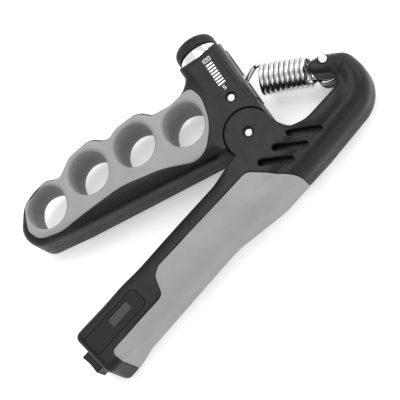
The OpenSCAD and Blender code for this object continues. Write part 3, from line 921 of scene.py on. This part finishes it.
def in_spring(points):
    """From (along the spring, across it in plan, up) to the part's own axes."""
    points = np.asarray(points, float)
    across = np.array([-SPRING_AXIS[1], SPRING_AXIS[0]])
    plan = EYE + points[:, :1] * SPRING_AXIS + points[:, 1:2] * across
    return np.column_stack([plan, MID + points[:, 2]])


def bend(p0, t0, p1, t1, count):
    """A smooth cubic from p0 to p1 with end directions t0 and t1."""
    t = np.linspace(0, 1, count)[:, None]
    p0, t0, p1, t1 = (np.array(v, float) for v in (p0, t0, p1, t1))
    return ((2 * t ** 3 - 3 * t ** 2 + 1) * p0 + (t ** 3 - 2 * t ** 2 + t) * t0
            + (-2 * t ** 3 + 3 * t ** 2) * p1 + (t ** 3 - t ** 2) * t1)


def helix(turn):
    """Coil centre line, turn counted from the eye's end."""
    turn = np.asarray(turn, float)
    a = 2 * math.pi * turn + PHASE
    x = COIL_FROM + (COIL_TO - COIL_FROM) * turn / COILS
    return np.column_stack([x, COIL_R * np.sin(a), COIL_R * np.cos(a)])


def helix_way(turn):
    return (helix([turn + 0.001]) - helix([turn]))[0] / 0.001


PER_TURN = 30
hook_start = helix([0.0])[0]
hook_way = helix_way(0.0)
hook_way /= np.linalg.norm(hook_way)

# the eye opens into a straight shank that climbs across to the top of the first turn
shank_aim = hook_start * (0.82, 0.86, 0.86)
shank_way = shank_aim / np.linalg.norm(shank_aim)
lead = math.atan2(shank_way[1], shank_way[0])
eye_a = np.linspace(lead - math.radians(300), lead - math.radians(4), 46)
eye_ring = np.column_stack([EYE_R * np.sin(eye_a - lead), -EYE_R * np.cos(eye_a - lead), 0 * eye_a])
to_lead = [[math.cos(lead), math.sin(lead), 0], [-math.sin(lead), math.cos(lead), 0], [0, 0, 1]]
eye_ring = eye_ring @ np.array(to_lead)
way = (eye_ring[-1] - eye_ring[-2]) / np.linalg.norm(eye_ring[-1] - eye_ring[-2])
shank = bend(eye_ring[-1], way * 4, shank_aim, shank_way * 6, 16)
out = bend(shank_aim, shank_way * 3.5, hook_start, hook_way * 3.5, 14)
front_path = np.vstack([eye_ring, shank[1:], out[1:]])
CUT = 6.0
coil_a = helix(np.linspace(0, CUT, int(CUT * PER_TURN)))
coil_b = helix(np.linspace(CUT, COILS, int((COILS - CUT) * PER_TURN)))
end_way = helix_way(COILS)
loop_a = np.linspace(math.radians(215), math.radians(215 - 320), 64)
ring = np.column_stack([LOOP_AT + COIL_R * np.cos(loop_a), COIL_R * np.sin(loop_a), 0.0 * loop_a])
ring_way = ring[1] - ring[0]
link = bend(coil_b[-1], end_way / np.linalg.norm(end_way) * 10,
            ring[0], ring_way / np.linalg.norm(ring_way) * 10, 22)

eye = tube("spring_eye", in_spring(front_path), WIRE)
finish_piece(eye, NICKEL, "spring_front", "spring_steel", "spring_front_hook")
first = tube("spring_coils", in_spring(coil_a), WIRE)
finish_piece(first, NICKEL, None, "spring_steel", "spring_coil")
JOIN_AT = COIL_FROM + (COIL_TO - COIL_FROM) * CUT / COILS
a, b = in_spring([(COIL_FROM, 0, 0), (JOIN_AT, 0, 0)]) * MM
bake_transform(first)
last = tube("spring_loop", in_spring(np.vstack([coil_b, link[1:], ring[1:]])), WIRE)
finish_piece(last, NICKEL, None, "spring_steel", "spring_rear_hook")
a, b = in_spring([(JOIN_AT, 0, 0), (COIL_TO + 1, 0, 0)]) * MM
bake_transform(last)

# ---------------------------------------------------------------- counter and button

def button_field(x, y, z):
    """The reset key: a scooped, grooved front with a flange behind it."""
    low, high = BUTTON
    body = block(x, y, z, (low[0] + 1, low[1], low[2] + 1), (high[0] - 1, high[1] - 0.4, high[2] - 1), 1.0)
    scoop = np.hypot(y - low[1] + 5.2, (x - (low[0] + high[0]) / 2) * 0.55) - 6.0
    body = less(body, scoop, 0.5)
    for k in (-1, 0, 1):
        groove = np.maximum(np.abs(y - low[1] - 2.4) - 5, np.abs(z - MID - 2.6 * k) - 0.35)
        body = less(body, np.maximum(groove, y - low[1] - 1.5), 0.15)
    flange = block(x, y, z, (low[0], high[1] - 1.6, low[2]), high, 0.3)
    return joined(body, flange)


BUTTON = node_box("reset_button")
button = carve("reset_key", button_field, BUTTON[0] - 0.6, BUTTON[1] + 0.6, 0.25, 0.4)
finish_piece(button, KNOB_BLACK, "button", "black_part", "reset_button")


def window_field(x, y, z):
    """The frame round the counter display."""
    plate = both(WINDOW(x, y) + 0.02, np.abs(z - (WINDOW_LOW[2] + WINDOW_HIGH[2]) / 2) - 0.85, 0.25)
    view_low, view_high = LCD_LOW + 0.3, LCD_HIGH - 0.3
    hole = block(x, y, z, (view_low[0], view_low[1], WINDOW_LOW[2] - 3),
                 (view_high[0], view_high[1], THICK + 3), 0.3)
    return less(plate, hole, 0.2)


window = carve("display_frame", window_field, WINDOW_LOW - 0.6, WINDOW_HIGH + 0.6, 0.22, 0.35)
finish_piece(window, GLOSS, "palm_handle", "window", "display_window")


def panel_field(x, y, z):
    low = (LCD_LOW[0] + 0.35, LCD_LOW[1] + 0.35, LCD_LOW[2])
    high = (LCD_HIGH[0] - 0.35, LCD_HIGH[1] - 0.35, THICK - 0.5)
    return block(x, y, z, low, high, 0.15)


panel = carve("lcd_face", panel_field, LCD_LOW - 0.6,
              (LCD_HIGH[0] + 0.6, LCD_HIGH[1] + 0.6, THICK + 0.4), 0.22, 0.3)
finish_piece(panel, LCD, "palm_handle", "lcd", "lcd_panel")


def print_marks(name, marks, body, thickness=0.14):
    """Thin printed bars, each given by its centre, length, width and angle in plan."""
    points, faces = [], []
    for (cx, cy), length, width, angle in marks:
        u = np.array([math.cos(angle), math.sin(angle)])
        v = np.array([-u[1], u[0]])
        base = len(points)
        z = THICK - 0.12 - FACE_DROP * float(step(DROP_FROM, DROP_TO, head_axes(cx, cy)[0]))
        for dz in (0, thickness):
            for a, b in ((-1, -1), (1, -1), (1, 1), (-1, 1)):
                p = np.array([cx, cy]) + a * length / 2 * u + b * width / 2 * v
                points.append((*p, z + dz))
        faces += [tuple(base + i for i in q) for q in
                  ((3, 2, 1, 0), (4, 5, 6, 7), (0, 1, 5, 4), (1, 2, 6, 5), (2, 3, 7, 6), (3, 0, 4, 7))]
    piece = make_mesh(name, np.array(points), faces)
    return finish_piece(piece, INK, body, "nylon")


def segments(text, at, size, angle):
    """Digits as seven-segment strokes, for the force scale."""
    lit = {"0": "abcdef", "1": "bc", "5": "acdfg"}
    shape = {"a": (0.5, 1, 0), "b": (1, 0.75, 90), "c": (1, 0.25, 90), "d": (0.5, 0, 0), "e": (0, 0.25, 90),
             "f": (0, 0.75, 90), "g": (0.5, 0.5, 0)}
    u = np.array([math.cos(angle), math.sin(angle)])
    v = np.array([-u[1], u[0]])
    marks = []
    for i, digit in enumerate(text):
        for key in lit[digit]:
            px, py, turn = shape[key]
            c = np.array(at) + (px * 0.55 + i * 0.95) * size * u + py * size * v
            length = 0.62 * size if turn == 0 else 0.56 * size
            marks.append((c, length, 0.13 * size, angle + math.radians(turn)))
    return marks


PRINT_ANGLE = math.atan2(N_DIR[1], N_DIR[0])
SCALE_FROM, SCALE_STEP, SCALE_SIDE = 27.4, 1.68, 2.7
NUMERAL, NUMERAL_GAP = 1.9, 2.6


def centred(marks, at):
    """The marks moved so that they lie about a point."""
    centres = np.array([m[0] for m in marks])
    shift = np.array(at) - (centres.min(axis=0) + centres.max(axis=0)) / 2
    return [(tuple(np.array(m[0]) + shift), *m[1:]) for m in marks]


scale = [(on_head(SCALE_FROM + SCALE_STEP * k, SCALE_SIDE), 3.7, 0.85, PRINT_ANGLE) for k in range(8)]
scale += centred(segments("100", (0, 0), NUMERAL, PRINT_ANGLE),
                 on_head(SCALE_FROM + SCALE_STEP * 7 + NUMERAL_GAP, SCALE_SIDE))
scale += centred(segments("5", (0, 0), NUMERAL, PRINT_ANGLE), on_head(SCALE_FROM - NUMERAL_GAP, SCALE_SIDE))
print_marks("force_scale", scale, "finger_handle")

# ---------------------------------------------------------------- carried-over CAD nodes

KEPT = {
    "slide_channel": DARK_STEEL, "screw_foot": KNOB_BLACK, "retaining_clip": STEEL, "knob_screw": STEEL,
    "slider_nut": BRASS, "slider_pin": CHROME, "pivot_washers": NYLON, "pivot_bush": BRONZE,
    "counter_board": BOARD, "battery_cell": STEEL, "battery_clip": STEEL, "reed_switch": REED,
    "dome_switch": KNOB_BLACK, "tip_magnet": STEEL,
}
for name, material in KEPT.items():
    node = frame["nodes"][name]
    node.data.materials.clear()
    node.data.materials.append(material)

# ---------------------------------------------------------------- floor, light and camera

FLOOR_SIZE = 6.0
floor_mesh = bpy.data.meshes.new("floor")
half = FLOOR_SIZE / 2
corners = [(-half, -half, 0), (half, -half, 0), (half, half, 0), (-half, half, 0)]
floor_mesh.from_pydata(corners, [], [(0, 1, 2, 3)])
floor = bpy.data.objects.new("floor", floor_mesh)
floor.location = (0, 0, -0.0004)
bpy.context.scene.collection.objects.link(floor)
floor_look = plain("pale_floor", (0.9, 0.9, 0.9), 0.75, 30, 0.02, specular=0.2)
FLOOR_GLOW = 0.35
glow = next(n for n in floor_look.node_tree.nodes if n.type == "BSDF_PRINCIPLED")
glow.inputs["Emission Color"].default_value = (1, 1, 1, 1)
glow.inputs["Emission Strength"].default_value = FLOOR_GLOW
floor_mesh.materials.append(floor_look)

CAMERA_AZIMUTH = math.radians(7.5)
CAMERA_ELEVATION = math.radians(66)
CAMERA_UP = (-0.63226, 0.73787, 0.23621)
CAMERA_DISTANCE = 0.757576
AIM = Vector((-0.00069186, -0.03753834, MID * MM))
towards = Vector((math.cos(CAMERA_ELEVATION) * math.cos(CAMERA_AZIMUTH),
                  math.cos(CAMERA_ELEVATION) * math.sin(CAMERA_AZIMUTH), math.sin(CAMERA_ELEVATION)))
up = Vector(CAMERA_UP)
up = (up - towards * up.dot(towards)).normalized()
right = up.cross(towards)
camera_data = bpy.data.cameras.new("camera")
camera_data.lens = 150
camera_data.sensor_width = 36
camera = bpy.data.objects.new("camera", camera_data)
turn = Matrix((right, up, towards)).transposed().to_4x4()
camera.matrix_world = Matrix.Translation(AIM + towards * CAMERA_DISTANCE) @ turn
bpy.context.scene.collection.objects.link(camera)
bpy.context.scene.camera = camera


def softbox(name, side, rise, away, width, height, power):
    """An area light placed by the camera's own right, up and towards directions, aimed at the object."""
    data = bpy.data.lights.new(name, "AREA")
    data.shape = "RECTANGLE"
    data.size, data.size_y, data.energy = width, height, power
    lamp = bpy.data.objects.new(name, data)
    lamp.location = AIM + right * side + up * rise + towards * away
    lamp.rotation_euler = (AIM - lamp.location).to_track_quat("-Z", "Y").to_euler()
    bpy.context.scene.collection.objects.link(lamp)
    return lamp


softbox("key", -0.55, 0.75, 0.9, 0.9, 0.9, 9.5)
softbox("fill", 0.9, -0.35, 0.7, 0.5, 1.0, 4)
softbox("rim", 0.5, 0.95, 0.35, 1.1, 0.2, 4)
world = bpy.data.worlds.new("studio")
world.use_nodes = True
world.node_tree.nodes["Background"].inputs["Color"].default_value = (1, 1, 1, 1)
world.node_tree.nodes["Background"].inputs["Strength"].default_value = 0.95
bpy.context.scene.world = world
bpy.context.scene.view_settings.view_transform = "Standard"
